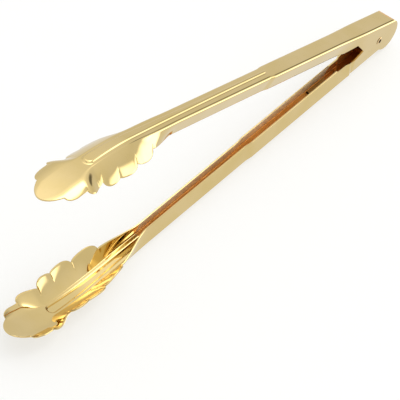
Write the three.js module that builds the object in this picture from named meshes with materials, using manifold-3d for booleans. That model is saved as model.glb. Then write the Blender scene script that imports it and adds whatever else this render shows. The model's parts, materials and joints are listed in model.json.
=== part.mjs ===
import * as THREE from "three";
import { mergeVertices } from "three/addons/utils/BufferGeometryUtils.js";
import Module from "manifold-3d";

const wasm = await Module();
wasm.setup();

// Driving sizes of the tongs, in mm and degrees. Each arm is drawn in its own axes:
// x runs from the pivot to the tip, y along the pivot, z away from the other arm.
const openAngle = 16.7;
const armLength = 380.5;
const sheet = 1.0;
const backHeight = 13.3;
const handleWidth = 14.2;
const frontWidth = 12.8;
const wallHeight = 11.4;
const wallLean = 14;
const bendRadius = 1.7;
const jogStart = 143;
const jogLength = 7;
const ribStart = 147.5;
const ribEnd = 343;
const ribHeight = 1.3;
const ribStartWidth = 3.4;
const ribEndWidth = 8.4;
const ribSlope = 1.3;
const ribRunOut = 3;
const ribMargin = 0.3;
const spineMargin = 1;
const headStart = 252;
const dipStart = 300;
const noseDrop = 15.9;
const headReach = 13.6;
const shellCurl = 17;
const noseCurl = 42;
const earWidth = 14.6;
const sideGap = 0.15;
const joggleStart = 29.5;
const joggleLength = 3.5;
const joggleBlend = 3;
const leanLength = 40;
const earRear = 10.8;
const earAxisHeight = 1.8;
const stopGap = 0.35;
const pinDiameter = 4.0;
const pinFit = 0.05;
const rivetHeadDiameter = 5.8;
const rivetHeadHeight = 0.4;
const rivetDimple = 3.0;
const rivetHollow = 1.0;
const rivetHollowFloor = 2.5;
const rivetCrown = { start: 0.35, end: 0.8, edge: 0.2 };
const rivetDrop = { lip: 0.1, crown: 0.06, edge: 0.25 };
const springSheet = 0.7;
const springLegEnd = 68;
const springGap = 0.3;
const springLoopGap = 2.4;
const springLoopX = -0.5;
const springBendStart = 24.5;

// Scallops of one side of the head, from the neck to the nose: where each lobe is
// centred and ends, and how far lobe and following notch reach from the fold line.
const lobes = [
  { centre: 295, end: 305.5, reach: 14.0, notch: 11.2 },
  { centre: 314, end: 323.8, reach: 16.1, notch: 14.0 },
  { centre: 330.5, end: 337.8, reach: 15.9, notch: 10.0 },
  { centre: 346, end: 355.0, reach: 12.3, notch: 7.2 },
  { centre: 362, end: 370.6, reach: 7.0, notch: 1.8 },
];
const neckReach = 8.4;
const neckEnd = 284.5;
const noseWidth = 24.6;
const noseLength = 23.8;

// Turn of the walls from the flat of the back, in degrees: where the head opens out
// from one turn to the next. The nose is the flattest part.
const neckTurn = 52;
const shellTurn = 34;
const noseTurn = 14;
const noseOpening = 12;
const noseFlatWidth = 16.4;
const neckOpening = 8;
const neckFlare = 12;
const shellOpening = { start: 4, end: 10 };

// Side outline of the ears: the slope that runs from the ear up to the wall.
const earFlare = { start: 21.6, end: 64.8 };
const earBottom = 4;
const earFront = 20.5;
const earFrontDrop = 2.6;
const slopeStart = 32;
const slopeDrop = 4.6;
const innerSlopeStart = 30;
const innerEarDrop = 2.3;
const wallStart = 44.5;
const innerEarTop = { start: -5, dip: 8, depth: 9, end: 16.7, level: 1 };
const trimMargin = 8;

const joggleEnd = joggleStart + joggleLength;
const earRadius = backHeight - earAxisHeight;
const rearEnd = earRear + earRadius;
const wallTurn = 90 + wallLean;
const innerEarWidth = earWidth - 2 * (sheet + sideGap);
const springWidth = Math.min(innerEarWidth, handleWidth) - 2 * bendRadius;
const stations = { handle: 22, jog: 4, joggle: 1.3, front: 30, rib: 1.5, neck: 3.6, head: 2.3, nose: 8 };
const across = { rib: 3, back: 1, bend: 2, flap: 5 };
const noseEdge = 0.1;
const roundSides = 32;
const arcSteps = 16;
const loopSteps = 14;
const noseBlend = { start: ribEnd - 2, end: ribEnd + noseOpening };

const rad = THREE.MathUtils.degToRad;

function goldSteel(color, roughness) {
  return new THREE.MeshStandardMaterial({ color, roughness, metalness: 1 });
}

function toSolid(geometry) {
  const bare = new THREE.BufferGeometry();
  bare.setAttribute("position", geometry.getAttribute("position").clone());
  if (geometry.index) bare.setIndex(geometry.index.clone());
  const welded = mergeVertices(bare, 1e-4);
  const mesh = new wasm.Mesh({
    numProp: 3,
    vertProperties: new Float32Array(welded.getAttribute("position").array),
    triVerts: new Uint32Array(welded.index.array),
  });
  return new wasm.Manifold(mesh);
}

function toGeometry(solid) {
  const mesh = solid.getMesh();
  const geometry = new THREE.BufferGeometry();
  geometry.setAttribute("position", new THREE.BufferAttribute(new Float32Array(mesh.vertProperties), 3));
  geometry.setIndex(new THREE.BufferAttribute(new Uint32Array(mesh.triVerts), 1));
  geometry.computeVertexNormals();
  return geometry;
}

function blend(x, from, to) {
  return THREE.MathUtils.smoothstep(x, from, to);
}

function mix(a, b, share) {
  return a + (b - a) * share;
}

// Plate cut by an outline in the x-z plane, standing centred across the pivot axis.
function sidePlate(shape, width) {
  const settings = { depth: width, bevelEnabled: false, curveSegments: arcSteps };
  const geometry = new THREE.ExtrudeGeometry(shape, settings);
  geometry.translate(0, 0, -width / 2);
  geometry.rotateX(Math.PI / 2);
  return toSolid(geometry);
}

function crossPin(diameter, length) {
  return new THREE.CylinderGeometry(diameter / 2, diameter / 2, length, roundSides);
}

// Height of the flat of the back above the pivot: level, then curving in to the nose.
function backAt(x) {
  const past = Math.max(0, x - dipStart) / (armLength - dipStart);
  return backHeight - noseDrop * past * past;
}

// Half width of the flat of the back, outside bends included.
function halfWidthAt(x, inner) {
  const hinge = (inner ? innerEarWidth : earWidth) / 2;
  const handle = inner
    ? mix(hinge, handleWidth / 2, blend(x, joggleStart, joggleEnd))
    : mix(hinge, handleWidth / 2, blend(x, earFlare.start, earFlare.end));
  const front = mix(handle, frontWidth / 2, blend(x, jogStart, jogStart + jogLength));
  const spine = mix(front, ribEndWidth / 2 + spineMargin, blend(x, headStart, dipStart));
  return mix(spine, noseFlatWidth / 2, blend(x, noseBlend.start, noseBlend.end));
}

// Turn of the wall from the flat of the back, in degrees: past square along the
// handle, upright at the ears, opening out over the head.
function turnAt(x, inner) {
  const twist = inner
    ? blend(x, joggleStart - joggleBlend, joggleEnd + joggleBlend)
    : blend(x, earFront, earFront + leanLength);
  const ear = mix(90, wallTurn, twist);
  const neck = mix(ear, neckTurn, blend(x, headStart, neckEnd + neckOpening));
  const head = mix(neck, shellTurn, blend(x, neckEnd + shellOpening.start, dipStart + shellOpening.end));
  return mix(head, noseTurn, blend(x, noseBlend.start, noseBlend.end));
}

// Further turn of the wall from its root to its edge, in degrees.
function curlAt(x) {
  const shell = shellCurl * blend(x, neckEnd - shellOpening.start, dipStart + shellOpening.end);
  return mix(shell, noseCurl, blend(x, noseBlend.start, noseBlend.end));
}

// Length of the wall from its bend to its edge.
function reachAt(x) {
  const wall = (wallHeight - bendRadius) / Math.cos(rad(wallLean));
  const ear = mix(2 * backHeight, wall, blend(x, wallStart, wallStart + 1));
  if (x < neckEnd) return mix(ear, neckReach, blend(x, headStart, neckEnd - neckFlare));
  let start = neckEnd;
  let before = neckReach;
  for (const lobe of lobes) {
    if (x <= lobe.end) {
      const rising = x < lobe.centre;
      const half = rising ? lobe.centre - start : lobe.end - lobe.centre;
      const root = rising ? before : lobe.notch;
      const round = Math.sqrt(Math.max(0, 1 - ((x - lobe.centre) / half) ** 2));
      return mix(root, lobe.reach, round);
    }
    start = lobe.end;
    before = lobe.notch;
  }
  return before;
}

// Points of half the outer outline of an arm at one place along it, each with the
// way the sheet faces there, from the middle of the back to the edge of the wall.
function halfSection(x, inner) {
  const ribOn = blend(x, ribStart, ribStart + ribRunOut) * (1 - blend(x, ribEnd - ribRunOut, ribEnd));
  const grow = THREE.MathUtils.clamp((x - ribStart) / (ribEnd - ribStart), 0, 1);
  const ribHalf = mix(ribStartWidth, ribEndWidth, grow * grow) / 2;
  const width = halfWidthAt(x, inner);
  const turn = rad(turnAt(x, inner));
  const level = backAt(x);
  const bendRun = bendRadius * Math.tan(turn / 2);
  const flatEnd = Math.max(width - bendRun, ribHalf + ribMargin);
  const points = [];
  for (let i = 0; i <= across.rib; i += 1) {
    const share = i / across.rib;
    const y = mix(ribHalf - ribSlope, ribHalf, share);
    const rise = ribHeight * ribOn * (0.5 + 0.5 * Math.cos(Math.PI * share));
    const tilt = (ribHeight * ribOn * Math.PI * 0.5 * Math.sin(Math.PI * share)) / ribSlope;
    if (i === 0) points.push({ y: 0, z: level + rise, ny: 0, nz: 1 });
    points.push({ y, z: level + rise, ny: tilt / Math.hypot(1, tilt), nz: 1 / Math.hypot(1, tilt) });
  }
  for (let i = 1; i <= across.back; i += 1) {
    points.push({ y: mix(ribHalf, flatEnd, i / across.back), z: level, ny: 0, nz: 1 });
  }
  for (let i = 1; i <= across.bend; i += 1) {
    const angle = (turn * i) / across.bend;
    points.push({
      y: flatEnd + bendRadius * Math.sin(angle),
      z: level - bendRadius * (1 - Math.cos(angle)),
      ny: Math.sin(angle),
      nz: Math.cos(angle),
    });
  }
  const reach = reachAt(x);
  const curl = rad(curlAt(x)) / headReach;
  let { y, z } = points[points.length - 1];
  const step = reach / across.flap;
  for (let i = 1; i <= across.flap; i += 1) {
    const middle = turn + curl * step * (i - 0.5);
    const angle = turn + curl * step * i;
    y += step * Math.cos(middle);
    z -= step * Math.sin(middle);
    points.push({ y, z, ny: Math.sin(angle), nz: Math.cos(angle) });
  }
  return points;
}

// The section over the nose is the same one, drawn in to the rounded front edge.
function sectionAt(x, inner) {
  const half = halfSection(x, inner);
  const noseStart = armLength - noseLength;
  const lobeEnd = lobes[lobes.length - 1].end;
  const last = half[half.length - 1];
  if (x > lobeEnd) {
    const square = Math.max(0, 1 - ((x - noseStart) / noseLength) ** 2);
    const share = Math.min(1, (noseWidth / 2) * Math.sqrt(square) / last.y);
    for (const point of half) {
      point.z = half[0].z + (point.z - half[0].z) * share * share;
      point.y *= share;
    }
  }
  const far = half.slice(1).reverse().map((p) => ({ ...p, y: -p.y, ny: -p.ny }));
  return far.concat(half);
}

function stationList() {
  const list = [];
  const add = (from, to, pitch) => {
    const count = Math.max(1, Math.round((to - from) / pitch));
    for (let i = 0; i < count; i += 1) list.push(mix(from, to, i / count));
  };
  const lobeEnd = lobes[lobes.length - 1].end;
  add(-rearEnd - trimMargin, earFront, stations.handle);
  add(earFront, joggleStart - joggleBlend, stations.jog);
  add(joggleStart - joggleBlend, joggleEnd + joggleBlend, stations.joggle);
  add(joggleEnd + joggleBlend, wallStart, stations.jog);
  add(wallStart, wallStart + 1, 1);
  add(wallStart + 1, earFlare.end, stations.front / 2);
  add(earFlare.end, jogStart, stations.front);
  add(jogStart, ribStart + ribRunOut, stations.rib);
  add(ribStart + ribRunOut, headStart, stations.front);
  add(headStart, neckEnd, stations.neck);
  let start = neckEnd;
  for (const lobe of lobes) {
    add(start, lobe.end, stations.head);
    start = lobe.end;
  }
  for (let i = 0; i <= stations.nose; i += 1) {
    list.push(lobeEnd + (armLength - noseEdge - lobeEnd) * Math.sin((Math.PI * i) / (2 * stations.nose)));
  }
  return list;
}

// One arm as bent sheet: outer and inner skins joined along their edges.
function bentSheet(inner) {
  const positions = [];
  const index = [];
  const list = stationList();
  let count = 0;
  for (const x of list) {
    const section = sectionAt(x, inner);
    count = section.length;
    for (const p of section) positions.push(x, p.y, p.z);
    for (const p of section) positions.push(x, p.y - sheet * p.ny, p.z - sheet * p.nz);
  }
  const ring = 2 * count;
  const quad = (a, b, c, d) => index.push(a, b, c, a, c, d);
  for (let s = 0; s + 1 < list.length; s += 1) {
    const here = s * ring;
    const next = here + ring;
    for (let i = 0; i + 1 < count; i += 1) {
      quad(here + i, next + i, next + i + 1, here + i + 1);
      quad(here + count + i, here + count + i + 1, next + count + i + 1, next + count + i);
    }
    const end = count - 1;
    quad(here + end, next + end, next + count + end, here + count + end);
    quad(here, here + count, next + count, next);
  }
  const tail = (list.length - 1) * ring;
  for (let i = 0; i + 1 < count; i += 1) {
    quad(i, i + 1, count + i + 1, count + i);
    quad(tail + i, tail + count + i, tail + count + i + 1, tail + i + 1);
  }
  const geometry = new THREE.BufferGeometry();
  geometry.setAttribute("position", new THREE.Float32BufferAttribute(positions, 3));
  geometry.setIndex(index);
  return toSolid(geometry);
}

// Side outline that trims the hinge end of the outer arm to its rounded ears.
function outerEarShape() {
  const shape = new THREE.Shape();
  const tip = armLength + trimMargin;
  const drop = 3 * backHeight;
  const bottom = Math.atan2(-earRadius, earBottom);
  shape.moveTo(tip, backHeight + trimMargin);
  shape.lineTo(-earRear, backHeight + trimMargin);
  shape.lineTo(-earRear, backHeight);
  shape.absarc(-earRear, earAxisHeight, earRadius, Math.PI / 2, 2 * Math.PI + bottom, false);
  shape.lineTo(earFront, -earFrontDrop);
  shape.lineTo(slopeStart, slopeDrop);
  shape.lineTo(wallStart, backHeight - wallHeight);
  shape.lineTo(wallStart + 1, backHeight - wallHeight);
  shape.lineTo(wallStart + 1, -drop);
  shape.lineTo(tip, -drop);
  shape.closePath();
  return shape;
}

// The same for the inner arm: its ears end on the stop line below the outer back.
function innerEarShape() {
  const shape = new THREE.Shape();
  const tip = armLength + trimMargin;
  const drop = 3 * backHeight;
  const reach = backHeight - bendRadius - stopGap;
  const sin = Math.sin(rad(openAngle));
  const cos = Math.cos(rad(openAngle));
  const stopAt = (x) => -(reach + sin * x) / cos;
  const toStop = reach + cos * earAxisHeight - sin * earRear;
  const rearAngle = 1.5 * Math.PI - rad(openAngle) - Math.acos(toStop / earRadius);
  shape.moveTo(tip, backHeight + trimMargin);
  shape.lineTo(-earRear, backHeight + trimMargin);
  shape.lineTo(-earRear, backHeight);
  shape.absarc(-earRear, earAxisHeight, earRadius, Math.PI / 2, rearAngle, false);
  shape.lineTo(innerEarTop.start, stopAt(innerEarTop.start));
  shape.quadraticCurveTo(innerEarTop.dip, -innerEarTop.depth, innerEarTop.end, -innerEarTop.level);
  shape.lineTo(innerSlopeStart, innerEarDrop);
  shape.lineTo(wallStart, backHeight - wallHeight);
  shape.lineTo(wallStart + 1, backHeight - wallHeight);
  shape.lineTo(wallStart + 1, -drop);
  shape.lineTo(tip, -drop);
  shape.closePath();
  return shape;
}

function makeArm(inner) {
  const plate = sidePlate(inner ? innerEarShape() : outerEarShape(), 4 * handleWidth);
  const bore = toSolid(crossPin(pinDiameter + 2 * pinFit, 2 * earWidth));
  return toGeometry(bentSheet(inner).intersect(plate).subtract(bore));
}

// Rivet through both pairs of ears, with a hollow formed in each of its heads.
function makeRivet() {
  const face = earWidth / 2 + sideGap;
  const outer = face + rivetHeadHeight;
  const headRadius = rivetHeadDiameter / 2;
  const dimple = rivetDimple / 2;
  const hollow = outer - rivetHollow;
  const half = [
    [rivetHollowFloor / 2, hollow],
    [dimple, outer - rivetDrop.lip],
    [dimple + rivetCrown.start, outer],
    [headRadius - rivetCrown.end, outer - rivetDrop.crown],
    [headRadius - rivetCrown.edge, outer - rivetDrop.edge],
    [headRadius, face],
    [pinDiameter / 2, face],
  ];
  const near = half.map(([r, y]) => new THREE.Vector2(r, -y));
  const far = half.map(([r, y]) => new THREE.Vector2(r, y)).reverse();
  const profile = [new THREE.Vector2(0, -hollow), ...near, ...far, new THREE.Vector2(0, hollow)];
  return new THREE.LatheGeometry(profile, roundSides);
}

// Leaf spring: one strip that bends round behind the rivet and lies in both arms.
function makeSpring() {
  const lift = backHeight - sheet - springGap - springSheet / 2;
  const half = rad(openAngle / 2);
  const legAt = (x, side) => {
    const along = x * Math.cos(half) - lift * Math.sin(half);
    return new THREE.Vector2(along, side * (x * Math.sin(half) + lift * Math.cos(half)));
  };
  const turnRadius = lift - springLoopGap;
  const path = [legAt(springLegEnd, 1), legAt(springBendStart, 1)];
  for (let i = 0; i <= loopSteps; i += 1) {
    const angle = mix(Math.PI * 0.5 + half, Math.PI * 1.5 - half, i / loopSteps);
    path.push(new THREE.Vector2(springLoopX + turnRadius * Math.cos(angle), turnRadius * Math.sin(angle)));
  }
  path.push(legAt(springBendStart, -1), legAt(springLegEnd, -1));
  const sideOf = (i) => {
    const a = path[Math.max(0, i - 1)];
    const b = path[Math.min(path.length - 1, i + 1)];
    const run = b.clone().sub(a).normalize();
    return new THREE.Vector2(-run.y, run.x).multiplyScalar(springSheet / 2);
  };
  const outline = path.map((p, i) => p.clone().add(sideOf(i)));
  outline.push(...path.map((p, i) => p.clone().sub(sideOf(i))).reverse());
  const settings = { depth: springWidth, bevelEnabled: false };
  const geometry = new THREE.ExtrudeGeometry(new THREE.Shape(outline), settings);
  geometry.translate(0, 0, -springWidth / 2);
  geometry.rotateX(Math.PI / 2);
  return geometry;
}

const upperArm = new THREE.Mesh(makeArm(false), goldSteel("#cdb27c", 0.16));
upperArm.name = "upper_arm";
upperArm.geometry.rotateY(-rad(openAngle));

const lowerArm = new THREE.Mesh(makeArm(true), goldSteel("#c9ab70", 0.16));
lowerArm.name = "lower_arm";
lowerArm.geometry.rotateX(Math.PI);

const rivet = new THREE.Mesh(makeRivet(), goldSteel("#d9c08a", 0.22));
rivet.name = "pivot_rivet";

const spring = new THREE.Mesh(makeSpring(), goldSteel("#b99a5e", 0.25));
spring.name = "leaf_spring";
spring.geometry.rotateY(-rad(openAngle / 2));

const tongs = new THREE.Group();
tongs.name = "ice_tongs";
const box = new THREE.Box3();
for (const mesh of [upperArm, lowerArm, rivet, spring]) {
  mesh.geometry.computeBoundingBox();
  box.union(mesh.geometry.boundingBox);
  tongs.add(mesh);
}
// The origin lies under the middle of the tongs, on the level they rest on.
const middle = box.getCenter(new THREE.Vector3());
for (const mesh of tongs.children) {
  mesh.geometry.translate(-middle.x, -middle.y, -box.min.z);
}

export default tongs;
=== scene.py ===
import json
import math

import bmesh
import bpy
import numpy as np
from mathutils import Matrix, Vector


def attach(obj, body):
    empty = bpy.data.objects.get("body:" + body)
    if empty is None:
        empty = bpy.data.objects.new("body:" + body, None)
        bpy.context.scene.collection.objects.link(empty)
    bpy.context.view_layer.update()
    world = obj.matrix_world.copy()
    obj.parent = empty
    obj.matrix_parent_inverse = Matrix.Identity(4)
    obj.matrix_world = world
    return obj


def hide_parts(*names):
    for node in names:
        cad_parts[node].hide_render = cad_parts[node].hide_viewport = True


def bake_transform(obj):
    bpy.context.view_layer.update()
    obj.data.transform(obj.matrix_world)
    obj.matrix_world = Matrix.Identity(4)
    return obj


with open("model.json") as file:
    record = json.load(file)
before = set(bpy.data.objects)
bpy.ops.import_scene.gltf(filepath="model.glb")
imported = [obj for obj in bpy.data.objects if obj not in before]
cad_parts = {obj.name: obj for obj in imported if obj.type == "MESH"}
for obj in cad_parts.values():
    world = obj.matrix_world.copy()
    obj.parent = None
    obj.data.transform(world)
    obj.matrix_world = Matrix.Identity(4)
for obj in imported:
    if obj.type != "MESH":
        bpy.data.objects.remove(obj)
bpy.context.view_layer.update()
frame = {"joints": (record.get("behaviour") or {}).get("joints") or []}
print("frame loaded")

mm = 0.001
pivot = Vector(frame["joints"][0]["pos_m"])

# Sizes of the bent sheet in mm, each arm in its own axes: x runs from the pivot to the
# tip, y along the pivot and z away from the other arm.
armSizes = {
    "openAngle": math.radians(16.7),
    "length": 380.5,
    "sheet": 1.0,
    "back": 13.3,  # height of the flat of the back above the pivot
    "handleWidth": 14.2,
    "frontWidth": 12.8,
    "wall": 11.4,
    "wallTurn": 104,
    "bend": 1.7,
    "jog": (143, 150),
    "rib": (147.5, 343),
    "ribRise": 1.3,
    "ribWidth": (3.4, 8.4),
    "ribSlope": 1.5,
    "head": 252,
    "dip": 300,
    "noseDrop": 15.9,
    "headReach": 13.6,
    "curls": (17, 42),  # further turn from root to edge: shell and nose
    "neckReach": 8.4,
    "neck": 284.5,
    "neckOpening": 8,
    "neckFlare": 12,
    "shellOpening": (4, 10),  # past the neck and past the dip; the curl starts as far before the neck
    "spineMargin": 1,
    "ribMargin": 0.3,
    "turns": (52, 34, 14),  # neck, shell and nose
    "noseLead": 2,  # the nose starts to open this far before the rib ends
    "noseOpening": 12,
    "noseFlatWidth": 16.4,
    "noseBend": 14,  # radius that the bend eases out to over the nose
    "noseWidth": 24.6,
    "noseLength": 23.8,
    "notchPress": 0.5,  # how far each notch is pressed in between two scallops
    "pressLead": 3,
    "pressFade": 2,
    "pressFrom": 0.45,  # share of the wall, from the fold, where the press starts
    "crease": math.radians(38),
}

earSizes = {
    "width": 14.6,
    "sideGap": 0.15,
    "joggle": (29.5, 33.0),
    "joggleBlend": 3,
    "flare": (21.6, 64.8),
    "lean": (20.5, 60.5),
    "front": (20.5, -2.6),
    "slope": (32, 4.6),
    "innerSlope": (30, 2.3),
    "wallStart": 44.5,
    "rear": 10.8,
    "axisHeight": 1.8,
    "stopGap": 0.35,
    "bottom": 4,
    # Front edge of the inner ear: a curve from the stop, down and up again to the slope.
    "innerTop": {"start": -5, "dip": 8, "depth": 9, "end": 16.7, "level": 1.0},
    "trimWidth": 40,
    "trimBeyond": (5, 10),
}

# Scallops of one side, from the neck to the nose: centre, end, reach and notch depth.
scallops = (
    (295, 305.5, 14.0, 11.2),
    (314, 323.8, 16.1, 14.0),
    (330.5, 337.8, 15.9, 10.0),
    (346, 355.0, 12.3, 7.2),
    (362, 370.6, 7.0, 1.8),
)


def smooth(x, low, high):
    share = min(1.0, max(0.0, (x - low) / (high - low)))
    return share * share * (3 - 2 * share)


def mix(a, b, share):
    return a + (b - a) * share


def linearColour(hexText):
    parts = [int(hexText[i : i + 2], 16) / 255 for i in (1, 3, 5)]
    return tuple(p / 12.92 if p <= 0.04045 else ((p + 0.055) / 1.055) ** 2.4 for p in parts) + (1.0,)


def backAt(x):
    past = max(0.0, x - armSizes["dip"]) / (armSizes["length"] - armSizes["dip"])
    return armSizes["back"] - armSizes["noseDrop"] * past * past


# How far the head has gone over from shell to nose, from 0 to 1.
def noseShare(x):
    ribEnd = armSizes["rib"][1]
    return smooth(x, ribEnd - armSizes["noseLead"], ribEnd + armSizes["noseOpening"])


def halfWidthAt(x, inner):
    a, e = armSizes, earSizes
    if inner:
        ears = e["width"] / 2 - a["sheet"] - e["sideGap"]
        handle = mix(ears, a["handleWidth"] / 2, smooth(x, *e["joggle"]))
    else:
        handle = mix(e["width"] / 2, a["handleWidth"] / 2, smooth(x, *e["flare"]))
    front = mix(handle, a["frontWidth"] / 2, smooth(x, *a["jog"]))
    spine = mix(front, a["ribWidth"][1] / 2 + a["spineMargin"], smooth(x, a["head"], a["dip"]))
    return mix(spine, a["noseFlatWidth"] / 2, noseShare(x))


def turnAt(x, inner):
    a, e = armSizes, earSizes
    neck, shell, nose = a["turns"]
    twist = smooth(x, *e["lean"])
    if inner:
        twist = smooth(x, e["joggle"][0] - e["joggleBlend"], e["joggle"][1] + e["joggleBlend"])
    turn = mix(90, a["wallTurn"], twist)
    turn = mix(turn, neck, smooth(x, a["head"], a["neck"] + a["neckOpening"]))
    fromNeck, fromDip = a["shellOpening"]
    turn = mix(turn, shell, smooth(x, a["neck"] + fromNeck, a["dip"] + fromDip))
    return math.radians(mix(turn, nose, noseShare(x)))


# Place between two notches: 0 at a notch and 1 in the middle of a scallop, with the
# length of the wall there.
def scallopAt(x):
    start, before = armSizes["neck"], armSizes["neckReach"]
    for centre, end, reach, notch in scallops:
        if x <= end:
            rising = x < centre
            half = centre - start if rising else end - centre
            root = before if rising else notch
            crown = math.sqrt(max(0.0, 1 - ((x - centre) / half) ** 2))
            return crown, mix(root, reach, crown)
        start, before = end, notch
    return 1.0, before


def reachAt(x):
    a, e = armSizes, earSizes
    wall = (a["wall"] - a["bend"]) / math.cos(math.radians(a["wallTurn"] - 90))
    reach = mix(2 * a["back"], wall, smooth(x, e["wallStart"], e["wallStart"] + 1))
    if x < a["neck"]:
        return mix(reach, a["neckReach"], smooth(x, a["head"], a["neck"] - a["neckFlare"]))
    return scallopAt(x)[1]


# Steps across the sheet and its rim, along the nose and round the ears' outlines.
meshDetail = {
    "ribTop": 6,
    "ribSlope": 9,
    "back": 3,
    "bend": 7,
    "wall": 16,
    "rim": 4,
    "nose": 28,
    "innerEar": 64,
    "innerTop": 24,
    "outerEar": 90,
    "rimBulge": 0.6,  # 1 would round the cut edge fully
    "tipCut": 0.05,
}


def ribHalfAt(x):
    start, end = armSizes["rib"]
    along = min(1.0, max(0.0, (x - start) / (end - start)))
    return mix(*armSizes["ribWidth"], along * along) / 2


# Height of the rib over the back: a flat top, sloping sides and round ends.
def ribRiseAt(x, y):
    start, end = armSizes["rib"]
    half = ribHalfAt(x)
    past = max(start + half - x, x - end + half, 0.0)
    inside = half - math.hypot(past, y)
    return armSizes["ribRise"] * smooth(inside, 0.0, armSizes["ribSlope"])


# Half of the outer outline: rows of y, z and the way the sheet faces.
def halfSection(x, inner):
    a = armSizes
    ribHalf = ribHalfAt(x)
    level, turn = backAt(x), turnAt(x, inner)
    bend = mix(a["bend"], a["noseBend"], noseShare(x))
    flatEnd = max(halfWidthAt(x, inner) - bend * math.tan(turn / 2), ribHalf + a["ribMargin"])
    slopeStart = ribHalf - a["ribSlope"]
    across = list(np.linspace(0, slopeStart, meshDetail["ribTop"], endpoint=False))
    across += list(np.linspace(slopeStart, ribHalf, meshDetail["ribSlope"] + 1))
    near = 0.01
    rows = []
    for y in across:
        tilt = (ribRiseAt(x, max(0.0, y - near)) - ribRiseAt(x, y + near)) / (2 * near) if y else 0.0
        rows.append((y, level + ribRiseAt(x, y), tilt / math.hypot(1, tilt), 1 / math.hypot(1, tilt)))
    for i in range(1, meshDetail["back"] + 1):
        rows.append((mix(ribHalf, flatEnd, i / meshDetail["back"]), level, 0.0, 1.0))
    for i in range(1, meshDetail["bend"] + 1):
        angle = turn * i / meshDetail["bend"]
        y = flatEnd + bend * math.sin(angle)
        rows.append((y, level - bend * (1 - math.cos(angle)), math.sin(angle), math.cos(angle)))
    shellCurl, noseCurl = a["curls"]
    beforeNeck, fromDip = a["shellOpening"]
    curl = shellCurl * smooth(x, a["neck"] - beforeNeck, a["dip"] + fromDip)
    curl = mix(curl, noseCurl, noseShare(x))
    curl = math.radians(curl) / a["headReach"]
    pressed = 0.0
    pressStart = a["neck"] - a["pressLead"]
    if x > pressStart:
        pressed = a["notchPress"] * (1 - scallopAt(x)[0]) * smooth(x, pressStart, a["neck"])
        pressed *= 1 - smooth(x, scallops[-1][0] + a["pressFade"], scallops[-1][1])
    y, z = rows[-1][:2]
    root = halfWidthAt(x, inner) + a["bend"] * (turn - math.tan(turn / 2))
    step = max(0.3, reachAt(x) - (flatEnd + bend * turn - root)) / meshDetail["wall"]
    for i in range(1, meshDetail["wall"] + 1):
        middle = turn + curl * step * (i - 0.5)
        angle = turn + curl * step * i
        y += step * math.cos(middle)
        z -= step * math.sin(middle)
        push = pressed * smooth(i / meshDetail["wall"], a["pressFrom"], 1.0)
        sine, cosine = math.sin(angle), math.cos(angle)
        rows.append((y - push * sine, z - push * cosine, sine, cosine))
    return np.array(rows)


def sectionAt(x, inner):
    a = armSizes
    half = halfSection(x, inner)
    if x > scallops[-1][1]:
        fromNose = (x - (a["length"] - a["noseLength"])) / a["noseLength"]
        share = min(1.0, a["noseWidth"] / 2 * math.sqrt(max(0.0, 1 - fromNose**2)) / half[-1, 0])
        half[:, 1] = half[0, 1] + (half[:, 1] - half[0, 1]) * share * share
        half[:, 0] *= share
    far = half[:0:-1] * (-1, 1, -1, 1)
    return np.vstack((far, half))


# Places of the sheet's sections along its length, closest where its shape changes most:
# each stretch has its start and the step between sections.
def stationList():
    a, e = armSizes, earSizes
    rearEnd = e["rear"] + a["back"] - e["axisHeight"]
    stops = [
        (-rearEnd - 2, 6.0),
        (e["lean"][0], 1.0),
        (e["joggle"][0] - e["joggleBlend"], 0.25),
        (e["joggle"][1] + e["joggleBlend"], 1.0),
        (e["lean"][1], 5.0),
        (a["jog"][0] - 1, 0.5),
        (a["rib"][0] + 4, 5.0),
        (a["head"], 1.0),
        (a["neck"] - 4, 0.55),
    ]
    ends = [s[0] for s in stops[1:]] + [scallops[-1][1]]
    stations = []
    for (start, pitch), end in zip(stops, ends):
        stations.extend(np.linspace(start, end, max(2, round((end - start) / pitch)), endpoint=False))
    stations.extend(end for _, end, _, _ in scallops)
    stations.extend((e["wallStart"], e["wallStart"] + 1))
    tip = a["length"] - meshDetail["tipCut"]
    steps = meshDetail["nose"]
    for i in range(1, steps + 1):
        stations.append(mix(scallops[-1][1], tip, math.sin(math.pi / 2 * i / steps)))
    return sorted(set(round(float(s), 4) for s in stations))


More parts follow.
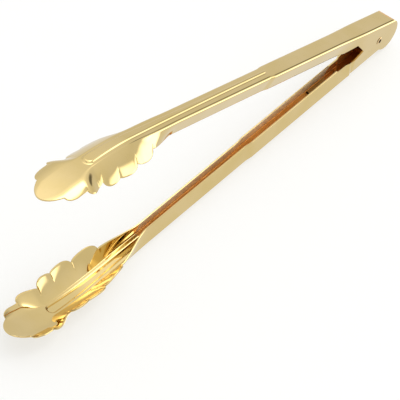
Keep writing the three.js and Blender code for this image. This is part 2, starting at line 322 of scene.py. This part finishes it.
# The sheet as one closed skin, its edges rounded over half its thickness.
def bentSheet(name, inner):
    thick = armSizes["sheet"]
    rim = meshDetail["rim"]
    rings = []
    for x in stationList():
        outer = sectionAt(x, inner)
        middle = outer[:, :2] - thick / 2 * outer[:, 2:]
        ring = list(outer[:, :2])
        for end, order in ((-1, 1), (0, -1)):
            normal = outer[end, 2:]
            out = np.array((normal[1], -normal[0])) * order
            arc = []
            for i in range(1, rim):
                angle = math.pi * i / rim
                bulge = meshDetail["rimBulge"] * math.sin(angle) * out
                arc.append(middle[end] + thick / 2 * (math.cos(angle) * normal + bulge))
            if end == -1:
                ring.extend(arc)
                ring.extend((middle - thick / 2 * outer[:, 2:])[::-1])
            else:
                ring.extend(arc[::-1])
        rings.append([(x, p[0], p[1]) for p in ring])
    count = len(rings[0])
    vertices = [Vector(p) * mm for ring in rings for p in ring]
    faces = []
    for s in range(len(rings) - 1):
        for i in range(count):
            j = (i + 1) % count
            faces.append((s * count + i, (s + 1) * count + i, (s + 1) * count + j, s * count + j))
    # The two ends are closed across the sheet, in strips from skin to skin.
    wide = len(sectionAt(0.0, inner))
    skin = 2 * wide + rim - 1
    for base, flip in ((0, False), ((len(rings) - 1) * count, True)):
        for i in range(wide - 1):
            quad = (base + i, base + i + 1, base + skin - 2 - i, base + skin - 1 - i)
            faces.append(quad[::-1] if flip else quad)
        nearRim = tuple(base + i for i in range(wide - 1, wide + rim))
        farRim = tuple(base + i for i in range(skin - 1, count)) + (base,)
        faces.append(nearRim[::-1] if flip else nearRim)
        faces.append(farRim[::-1] if flip else farRim)
    mesh = bpy.data.meshes.new(name)
    mesh.from_pydata(vertices, [], faces)
    mesh.validate()
    return mesh


def turnFacesOut(mesh, weld=False):
    work = bmesh.new()
    work.from_mesh(mesh)
    if weld:
        bmesh.ops.remove_doubles(work, verts=work.verts, dist=mm / 1000)
    bmesh.ops.recalc_face_normals(work, faces=work.faces)
    work.to_mesh(mesh)
    work.free()


def outlineMesh(name, points):
    halfWidth = earSizes["trimWidth"]
    mesh = bpy.data.meshes.new(name)
    near = [Vector((x, halfWidth, z)) * mm for x, z in points]
    far = [Vector((x, -halfWidth, z)) * mm for x, z in points]
    count = len(points)
    faces = [tuple(range(count)), tuple(range(2 * count - 1, count - 1, -1))]
    for i in range(count):
        j = (i + 1) % count
        faces.append((j, i, count + i, count + j))
    mesh.from_pydata(near + far, [], faces)
    turnFacesOut(mesh)
    return mesh


def arcPoints(centreX, centreZ, radius, start, end, count):
    steps = [mix(start, end, i / count) for i in range(count + 1)]
    return [(centreX + radius * math.cos(t), centreZ + radius * math.sin(t)) for t in steps]


# Side outline of the ears: a round rear end, and a front edge that climbs to the wall.
def earOutline(inner):
    a, e = armSizes, earSizes
    radius = a["back"] - e["axisHeight"]
    beyondTip, above = e["trimBeyond"]
    tip, high, low = a["length"] + beyondTip, a["back"] + above, -3 * a["back"]
    wallStart = e["wallStart"]
    points = [(tip, high), (-e["rear"], high)]
    if inner:
        reach = a["back"] - a["bend"] - e["stopGap"]
        sine, cosine = math.sin(a["openAngle"]), math.cos(a["openAngle"])
        toStop = reach + cosine * e["axisHeight"] - sine * e["rear"]
        end = 1.5 * math.pi - a["openAngle"] - math.acos(toStop / radius)
        points += arcPoints(-e["rear"], e["axisHeight"], radius, math.pi / 2, end, meshDetail["innerEar"])
        top = e["innerTop"]
        stop = -(reach + top["start"] * sine) / cosine
        for i in range(1, meshDetail["innerTop"] + 1):
            t = i / meshDetail["innerTop"]
            early, middle, late = (1 - t) ** 2, 2 * t * (1 - t), t * t
            x = early * top["start"] + middle * top["dip"] + late * top["end"]
            points.append((x, early * stop - middle * top["depth"] - late * top["level"]))
        points.append(e["innerSlope"])
    else:
        end = 2 * math.pi + math.atan2(-radius, e["bottom"])
        points += arcPoints(-e["rear"], e["axisHeight"], radius, math.pi / 2, end, meshDetail["outerEar"])
        points += [e["front"], e["slope"]]
    edge = a["back"] - a["wall"]
    points += [(wallStart, edge), (wallStart + 1, edge), (wallStart + 1, low), (tip, low)]
    return points


def trimTo(piece, outline):
    cutter = bpy.data.objects.new("cutter", outline)
    bpy.context.scene.collection.objects.link(cutter)
    cut = piece.modifiers.new("cut", "BOOLEAN")
    cut.object = cutter
    cut.operation = "INTERSECT"
    cut.solver = "MANIFOLD"
    depsgraph = bpy.context.evaluated_depsgraph_get()
    piece.data = bpy.data.meshes.new_from_object(piece.evaluated_get(depsgraph))
    piece.modifiers.clear()
    bpy.data.objects.remove(cutter)


def linkPiece(name, mesh, material):
    piece = bpy.data.objects.new(name, mesh)
    bpy.context.scene.collection.objects.link(piece)
    mesh.materials.clear()
    mesh.materials.append(material)
    return piece


# Material of a face: 0 on the outside and the head, 1, a painted reflection, on the floor of the channel
# and its bends, 2, painted light, on the channel's walls, which look in towards the middle.
paintedChannelLimits = {"floorFacing": -0.3, "floorDepth": 3, "wallFacing": -0.5}


def paintedChannelSlotOf(face):
    facing, place = face.normal, face.center / mm
    if place.x > armSizes["head"]:
        return 0
    floorLevel = armSizes["back"] - paintedChannelLimits["floorDepth"]
    if facing.z < paintedChannelLimits["floorFacing"] and place.z > floorLevel:
        return 1
    if facing.y * place.y > paintedChannelLimits["wallFacing"] * abs(place.y):
        return 0
    return 1 if place.x < earSizes["wallStart"] else 2


def makeArm(name, inner, turn, materials):
    piece = linkPiece(name, bentSheet(name, inner), materials[0])
    trimTo(piece, outlineMesh("earOutline", earOutline(inner)))
    mesh = piece.data
    mesh.materials.clear()
    for material in materials:
        mesh.materials.append(material)
    # Floor and wall faces of the channel get the painted reflection and painted light materials.
    for face in mesh.polygons:
        face.material_index = paintedChannelSlotOf(face)
    mesh.transform(Matrix.Translation(pivot) @ turn)
    mesh.shade_smooth()
    mesh.set_sharp_from_angle(angle=armSizes["crease"])
    return piece


rivetSizes = {
    "head": 5.8,
    "rise": 0.4,
    "shank": 4.0,
    "dimple": 3.0,
    "hollow": 1.3,
    "lip": 0.15,
    "hollowFloor": 0.84,  # width of the hollow's floor as a share of the dimple
    "crownDrop": 0.85,  # share of the head's rise that the dome falls to its edge
    "hollowSteps": 8,
    "crownSteps": 12,
    "sides": 72,
    "crease": math.radians(50),
}


# Profile of one head: out from the middle of its hollow, over the lip and down a low dome.
def rivetProfile():
    r = rivetSizes
    face = earSizes["width"] / 2 + earSizes["sideGap"]
    top = face + r["rise"]
    points = [(0.0, top - r["hollow"])]
    for i in range(r["hollowSteps"] + 1):
        t = i / r["hollowSteps"]
        radius = r["dimple"] / 2 * mix(r["hollowFloor"], 1.0, t)
        points.append((radius, top - r["hollow"] * (1 - smooth(t, 0.0, 1.0))))
    lipEnd = r["dimple"] / 2 + r["lip"]
    for i in range(r["crownSteps"] + 1):
        t = i / r["crownSteps"]
        points.append((mix(lipEnd, r["head"] / 2, t), top - r["rise"] * r["crownDrop"] * t * t))
    points += [(r["head"] / 2, face), (r["shank"] / 2, face)]
    return points


def makeRivet(name, materials):
    half = rivetProfile()
    rows = [(radius, -y) for radius, y in half] + [(radius, y) for radius, y in half[::-1]]
    sides = rivetSizes["sides"]
    vertices, faces = [], []
    for radius, y in rows:
        for k in range(sides):
            angle = 2 * math.pi * k / sides
            vertices.append(pivot + Vector((radius * math.cos(angle), y, radius * math.sin(angle))) * mm)
    for s in range(len(rows) - 1):
        for k in range(sides):
            j = (k + 1) % sides
            faces.append((s * sides + k, s * sides + j, (s + 1) * sides + j, (s + 1) * sides + k))
    mesh = bpy.data.meshes.new(name)
    mesh.from_pydata(vertices, [], faces)
    turnFacesOut(mesh, weld=True)
    mesh.shade_smooth()
    mesh.set_sharp_from_angle(angle=rivetSizes["crease"])
    piece = linkPiece(name, mesh, materials[0])
    mesh.materials.append(materials[1])
    # Faces inside the dimple get the dark brown painted shade of the hollow.
    for face in mesh.polygons:
        away = face.center - pivot
        face.material_index = int(math.hypot(away.x, away.z) < rivetSizes["dimple"] / 2 * mm)
    return piece


springSizes = {
    "strip": 0.7,
    "gap": 0.3,
    "legEnd": 68,
    "bendStart": 24.5,
    "loopGap": 2.4,
    "loopX": -0.5,
    # length of the strip's end that is painted dark brown as shade
    "paintedShadeEnd": 0.8,
    "corner": (0.18, 0.5),  # rounding of the strip's edge: mm across and share of its half
    "legSteps": 60,
    "bridgeSteps": 12,
    "loopSteps": 40,
    "crease": math.radians(40),
}


def springPath():
    a, s = armSizes, springSizes
    lift = a["back"] - a["sheet"] - s["gap"] - s["strip"] / 2
    half = a["openAngle"] / 2
    radius = lift - s["loopGap"]
    leg = []
    for i in range(s["legSteps"] + 1):
        x = mix(s["legEnd"], s["bendStart"], i / s["legSteps"])
        leg.append((x * math.cos(half) - lift * math.sin(half), x * math.sin(half) + lift * math.cos(half)))
    loop = arcPoints(s["loopX"], 0, radius, math.pi / 2 + half, 1.5 * math.pi - half, s["loopSteps"])
    bridge = []
    before, after = Vector(leg[-1]), Vector(loop[0])
    for i in range(1, s["bridgeSteps"]):
        bridge.append(tuple(before.lerp(after, i / s["bridgeSteps"])))
    down = [(x, -z) for x, z in (leg + bridge)[::-1]]
    return leg + bridge + loop + down


def makeSpring(name, materials):
    a, e, s = armSizes, earSizes, springSizes
    halfWidth = e["width"] / 2 - a["sheet"] - e["sideGap"] - a["bend"]
    turn = Matrix.Rotation(-a["openAngle"] / 2, 3, "Y")
    path = [Vector((x, 0, z)) for x, z in springPath()]
    corner, drop = s["corner"]
    rings = []
    for i, point in enumerate(path):
        run = (path[min(i + 1, len(path) - 1)] - path[max(i - 1, 0)]).normalized()
        out = Vector((-run.z, 0, run.x)) * (s["strip"] / 2)
        ring = []
        for y, side in ((-1, 1), (1, 1), (1, -1), (-1, -1)):
            corners = [(halfWidth, 1 - drop), (halfWidth - corner, 1.0)]
            if y * side > 0:
                corners.reverse()
            for width, share in corners:
                ring.append(pivot + (turn @ (point + out * side * share + Vector((0, y * width, 0)))) * mm)
        rings.append(ring)
    count = len(rings[0])
    faces = [tuple(range(count)), tuple((len(rings) - 1) * count + k for k in range(count - 1, -1, -1))]
    for i in range(len(rings) - 1):
        for k in range(count):
            j = (k + 1) % count
            faces.append((i * count + j, i * count + k, (i + 1) * count + k, (i + 1) * count + j))
    mesh = bpy.data.meshes.new(name)
    mesh.from_pydata([v for ring in rings for v in ring], [], faces)
    turnFacesOut(mesh)
    mesh.shade_smooth()
    mesh.set_sharp_from_angle(angle=s["crease"])
    piece = linkPiece(name, mesh, materials[0])
    mesh.materials.append(materials[1])
    # The last stretch of the strip's end gets the dark brown painted shade.
    for face in mesh.polygons:
        along = (face.center - pivot).xz.length / mm
        face.material_index = int(along > math.hypot(s["legEnd"], a["back"]) - s["paintedShadeEnd"])
    return piece


# Adds one node, sets its values and links its sockets.
def addNode(tree, kind, values=None, links=None, **settings):
    node = tree.nodes.new(kind)
    for key, value in settings.items():
        setattr(node, key, value)
    for key, value in (values or {}).items():
        node.inputs[key].default_value = value
    for key, source in (links or {}).items():
        tree.links.new(source, node.inputs[key])
    return node


def rampNode(tree, source, stops):
    node = addNode(tree, "ShaderNodeValToRGB", links={"Fac": source})
    ramp = node.color_ramp
    ramp.elements[0].position, ramp.elements[0].color = stops[0]
    ramp.elements[1].position, ramp.elements[1].color = stops[-1]
    for place, colour in stops[1:-1]:
        ramp.elements.new(place).color = colour
    return node.outputs["Color"]


# Colours of the coat and its deeper patches, range of roughness, and depth in metres of
# the polishing lines and of the slow waviness.
goldLooks = {
    "arms": {
        "colour": "#e7ce93",
        "deep": "#e3c988",
        "roughness": (0.035, 0.07),
        "lines": 0.000002,
        "wave": 0.00001,
    },
    # Floor of the channel: a painted reflection, deeper orange for light bounced between the walls.
    "floor": {
        "colour": "#f2b05c",
        "deep": "#e8a148",
        "roughness": (0.28, 0.36),
        "lines": 0.000002,
        "wave": 0.00001,
    },
    # Walls of the channel: painted light, pale beige as if lit from above.
    "walls": {
        "colour": "#f4e8cc",
        "deep": "#ecdcb8",
        "roughness": (0.4, 0.5),
        "lines": 0.000002,
        "wave": 0.00001,
    },
    "rivet": {
        "colour": "#e6c893",
        "deep": "#d9b877",
        "roughness": (0.08, 0.14),
        "lines": 0.000006,
        "wave": 0.00001,
    },
    # Dark brown painted shade for the rivet's hollow and the strip's end.
    "paintedBrownShade": {
        "colour": "#4a3218",
        "deep": "#38240f",
        "roughness": (0.4, 0.5),
        "lines": 0.00001,
        "wave": 0.00001,
    },
    "spring": {
        "colour": "#dfbe84",
        "deep": "#cfa869",
        "roughness": (0.09, 0.16),
        "lines": 0.00001,
        "wave": 0.00001,
    },
}

# Pattern sizes as cells per metre. The real polishing lines are some hundredths of a
# millimetre apart and are drawn about 1.1 mm apart, so that they show.
patternScale = {
    "patches": 45.0,  # 22 mm
    "wheel": 900.0,  # 1.1 mm
    "handling": 130.0,  # 7.7 mm
    "wave": 28.0,  # 36 mm
}


# Sheet metal from a mirror to a dull finish, by its look: the faint lines of the wheel, a
# coat that is a little deeper in patches, and a slight waviness.
def metalFinish(name, look, stretch, metallic=1.0):
    material = bpy.data.materials.new(name)
    material.use_nodes = True
    tree = material.node_tree
    tree.nodes.clear()
    place = addNode(tree, "ShaderNodeTexCoord").outputs["Object"]
    patches = addNode(tree, "ShaderNodeTexNoise", {"Scale": patternScale["patches"], "Detail": 3.0},
                      {"Vector": place})
    colour = rampNode(tree, patches.outputs["Fac"], (
        (0.35, linearColour(look["deep"])),
        (0.65, linearColour(look["colour"])),
    ))
    along = addNode(tree, "ShaderNodeMapping", {"Scale": stretch}, {"Vector": place})
    wheel = addNode(tree, "ShaderNodeTexNoise",
                    {"Scale": patternScale["wheel"], "Detail": 4.0, "Roughness": 0.7},
                    {"Vector": along.outputs["Vector"]})
    handling = addNode(tree, "ShaderNodeTexNoise", {"Scale": patternScale["handling"], "Detail": 5.0},
                       {"Vector": place})
    both = addNode(tree, "ShaderNodeMath", links={0: wheel.outputs["Fac"], 1: handling.outputs["Fac"]},
                   operation="MULTIPLY")
    roughness = addNode(tree, "ShaderNodeMapRange",
                        {"From Min": 0.12, "From Max": 0.4, "To Min": look["roughness"][0],
                         "To Max": look["roughness"][1]}, {"Value": both.outputs[0]})
    wave = addNode(tree, "ShaderNodeTexNoise", {"Scale": patternScale["wave"], "Detail": 1.0},
                   {"Vector": place})
    slow = addNode(tree, "ShaderNodeBump", {"Strength": 1.0, "Distance": look["wave"]},
                   {"Height": wave.outputs["Fac"]})
    fine = addNode(tree, "ShaderNodeBump", {"Strength": 0.25, "Distance": look["lines"]},
                   {"Height": wheel.outputs["Fac"], "Normal": slow.outputs["Normal"]})
    shader = addNode(tree, "ShaderNodeBsdfPrincipled", {"Metallic": metallic},
                     {"Base Color": colour, "Roughness": roughness.outputs["Result"],
                      "Normal": fine.outputs["Normal"]})
    addNode(tree, "ShaderNodeOutputMaterial", links={"Surface": shader.outputs["BSDF"]})
    return material


sheetGrain = (0.06, 1.0, 1.0)  # polished along the arm, so the lines are drawn out in x
stripGrain = (0.04, 1.0, 1.0)
evenGrain = (1.0, 1.0, 1.0)

# Outside of both arms and the heads: a pale gold mirror.
armGold = metalFinish("polished gold-coated stainless", goldLooks["arms"], sheetGrain)
# Floor of the channel: dull and a deeper orange, a painted reflection of the light bounced between the
# channel's walls. It is less metallic than a real coat, to stay clear of black reflections inside the
# channel.
paintedFloorReflection = metalFinish("gold-coated stainless, painted channel reflection", goldLooks["floor"], sheetGrain, 0.5)
# Walls of the channel: a soft pale beige of painted light from above, for the same reason hardly metallic.
paintedWallLight = metalFinish("gold-coated stainless, painted light on channel walls", goldLooks["walls"], sheetGrain, 0.15)
# Rivet heads: a little softer than the arms.
rivetGold = metalFinish("formed gold-coated rivet", goldLooks["rivet"], evenGrain)
# Leaf spring: a deeper gold with drawn-out lines.
springGold = metalFinish("rolled gold-coated spring strip", goldLooks["spring"], stripGrain)
# Hollow of the rivet and end of the strip: dark brown painted shade.
paintedShadeBrown = metalFinish("dark brown painted shade", goldLooks["paintedBrownShade"], evenGrain)

upperTurn = Matrix.Rotation(-armSizes["openAngle"], 4, "Y")
lowerTurn = Matrix.Rotation(math.pi, 4, "X")
upperArm = makeArm("upperArmSheet", False, upperTurn, (armGold, paintedFloorReflection, paintedWallLight))
lowerArm = makeArm("lowerArmSheet", True, lowerTurn, (armGold, paintedFloorReflection, paintedWallLight))
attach(upperArm, "upper_body")
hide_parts("upper_arm")
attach(lowerArm, "lower_body")
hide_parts("lower_arm")
print("arms", len(upperArm.data.vertices), len(lowerArm.data.vertices))

rivet = makeRivet("pivotRivet", (rivetGold, paintedShadeBrown))
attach(rivet, "lower_body")
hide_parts("pivot_rivet")

spring = makeSpring("leafSpring", (springGold, paintedShadeBrown))
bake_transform(spring)
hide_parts("leaf_spring")
print("rivet and spring")

studio = {
    "floor": 4.0,
    "floorDrop": 0.0002,
    "floorDim": 0.985,  # the cloudy places of the table against the rest
    "floorGlow": 0.72,
    "floorWhite": "#f4f4f2",
    "floorShare": 0.35,  # how much of the room's light the table sends back
    # Brightness of the room by height, from straight down (-1) to straight up (1).
    "room": (
        (-1.0, 0.84),
        (-0.6, 0.84),
        (-0.3, 0.82),
        (0.0, 0.78),
        (0.26, 0.76),
        (0.42, 0.82),
        (0.64, 0.92),
        (1.0, 1.05),
    ),
    # Soft boxes: compass angle and height in degrees, half width in degrees, brightness.
    # One with a brightness below zero is a dark card.
    "boxes": (
        (178, 70, 24, 0.5),
        (168, 60, 13, 2.0),
        (149, -12, 11, 1.8),
        (138, 4, 8, 1.5),
        (177, 14, 9, -0.6),
        (5, 38, 28, -0.7),
    ),
    "boxEdge": (1.5, 0.6),  # where a box starts and is full, as shares of its half width
    "key": {"place": (-0.55, 0.62, 0.95), "target": (0.1, 0, 0.08), "size": 0.9, "power": 1.5},
}


def makeFloor():
    half = studio["floor"] / 2
    mesh = bpy.data.meshes.new("floor")
    corners = [(-half, -half), (half, -half), (half, half), (-half, half)]
    mesh.from_pydata([(x, y, -studio["floorDrop"]) for x, y in corners], [], [(0, 1, 2, 3)])
    material = bpy.data.materials.new("lit white acrylic table")
    material.use_nodes = True
    tree = material.node_tree
    tree.nodes.clear()
    place = addNode(tree, "ShaderNodeTexCoord").outputs["Object"]
    cloud = addNode(tree, "ShaderNodeTexNoise", {"Scale": 3.0, "Detail": 2.0}, {"Vector": place})
    white = linearColour(studio["floorWhite"])
    dim = tuple(c * studio["floorDim"] for c in white[:3]) + (1.0,)
    colour = rampNode(tree, cloud.outputs["Fac"], ((0.3, dim), (0.7, white)))
    faded = addNode(tree, "ShaderNodeMix", {"Factor": studio["floorShare"], 6: (0, 0, 0, 1)},
                    {7: colour}, data_type="RGBA")
    shader = addNode(tree, "ShaderNodeBsdfPrincipled",
                     {"Roughness": 0.6, "Emission Strength": studio["floorGlow"]},
                     {"Base Color": faded.outputs[2], "Emission Color": colour})
    addNode(tree, "ShaderNodeOutputMaterial", links={"Surface": shader.outputs["BSDF"]})
    floor = linkPiece("floor", mesh, material)
    floor.visible_glossy = False  # the polished sheet mirrors the room below instead


# A room that is brightest overhead and a little darker just above table height, with soft
# boxes and dark cards. They stand where they suit the main view.
def makeWorld():
    world = bpy.data.worlds.new("studio")
    bpy.context.scene.world = world
    world.use_nodes = True
    tree = world.node_tree
    tree.nodes.clear()
    place = addNode(tree, "ShaderNodeTexCoord").outputs["Generated"]
    rise = addNode(tree, "ShaderNodeSeparateXYZ", links={"Vector": place}).outputs["Z"]
    share = addNode(tree, "ShaderNodeMapRange", {"From Min": -1.0, "From Max": 1.0}, {"Value": rise})
    stops = [((z + 1) / 2, (grey, grey, grey, 1)) for z, grey in studio["room"]]
    total = rampNode(tree, share.outputs["Result"], stops)
    outside, full = studio["boxEdge"]
    for compass, height, width, strength in studio["boxes"]:
        a, h = math.radians(compass), math.radians(height)
        towards = (math.cos(h) * math.cos(a), math.cos(h) * math.sin(a), math.sin(h))
        facing = addNode(tree, "ShaderNodeVectorMath", {1: towards}, {0: place}, operation="DOT_PRODUCT")
        near = addNode(tree, "ShaderNodeMapRange", {
            "From Min": math.cos(math.radians(width * outside)),
            "From Max": math.cos(math.radians(width * full)),
            "To Max": strength,
        }, {"Value": facing.outputs["Value"]}, interpolation_type="SMOOTHSTEP")
        total = addNode(tree, "ShaderNodeVectorMath", links={0: total, 1: near.outputs["Result"]},
                        operation="ADD").outputs["Vector"]
    back = addNode(tree, "ShaderNodeBackground", links={"Color": total})
    addNode(tree, "ShaderNodeOutputWorld", links={"Surface": back.outputs["Background"]})


def makeKeyLamp():
    key = studio["key"]
    lamp = bpy.data.lights.new("keySoftbox", "AREA")
    lamp.shape = "RECTANGLE"
    lamp.size, lamp.size_y = key["size"], key["size"]
    lamp.energy = key["power"]
    holder = bpy.data.objects.new("keySoftbox", lamp)
    bpy.context.scene.collection.objects.link(holder)
    holder.location = key["place"]
    towards = Vector(key["target"]) - Vector(key["place"])
    holder.rotation_euler = towards.to_track_quat("-Z", "Y").to_euler()
    holder.visible_glossy = False


makeFloor()
makeWorld()
makeKeyLamp()

# Where the camera stands: compass angle and height above the table as seen from what it
# looks at, and its roll, in degrees. The pivot's place in its view is in mm, to the
# right, up and back.
cameraSetup = {
    "compass": 30.203,
    "height": 45.194,
    "roll": 10.657,
    "pivotAt": (117.773, 113.311, -1584.991),
    "lens": 206.8,
    "sensor": 36.0,
    "farEnd": 20,
}


def makeCamera():
    c = cameraSetup
    compass, height, roll = (math.radians(c[key]) for key in ("compass", "height", "roll"))
    turn = Matrix.Rotation(compass + math.pi / 2, 3, "Z")
    turn = turn @ Matrix.Rotation(math.pi / 2 - height, 3, "X") @ Matrix.Rotation(roll, 3, "Z")
    place = pivot - turn @ Vector(c["pivotAt"]) * mm
    data = bpy.data.cameras.new("camera")
    data.sensor_width = c["sensor"]
    data.lens = c["lens"]
    data.clip_end = c["farEnd"]
    holder = bpy.data.objects.new("camera", data)
    bpy.context.scene.collection.objects.link(holder)
    holder.matrix_world = Matrix.Translation(place) @ turn.to_4x4()
    bpy.context.scene.camera = holder


makeCamera()
bpy.context.scene.view_settings.view_transform = "Standard"
print("studio and camera")
